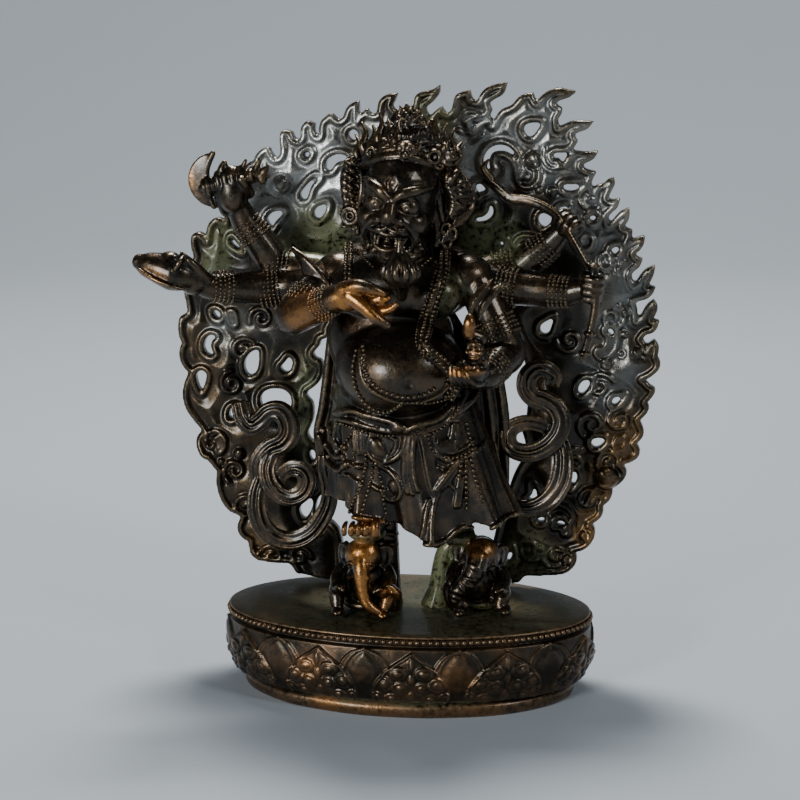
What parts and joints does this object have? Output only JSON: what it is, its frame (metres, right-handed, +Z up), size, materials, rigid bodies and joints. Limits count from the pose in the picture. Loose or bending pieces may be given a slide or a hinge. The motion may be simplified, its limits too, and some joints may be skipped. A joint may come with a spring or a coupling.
{
  "type": "mahakala figure",
  "caption": "Cast bronze figure of a wrathful many-armed Mahakala on an oval lotus plinth, standing on elephant-headed attendants before a pierced aureole of flames.",
  "frame": {"origin": "middle of the plinth's flat underside, on the surface that it stands on", "axes": "+Z up, the figure faces -Y, +X to the viewer's right from the front"},
  "size_m": [0.1598, 0.0696, 0.1895],
  "materials": {
    "plinth_bronze": "cast bronze with a reddish-brown patina, satin, darker on the flat top and rubbed to copper on the foot",
    "figure_bronze": "cast bronze with a brown-black waxed patina, rubbed to orange copper on the hands, toes and trunk, green in the recesses",
    "aureole_bronze": "cast bronze with a brown-black patina and a grey sheen, rubbed brown on the rims of the flames and the piercings"
  },
  "bodies": {
    "root": {"lotus_plinth": "plinth_bronze", "figure": "figure_bronze", "flame_aureole": "aureole_bronze"}
  },
  "joints": []
}
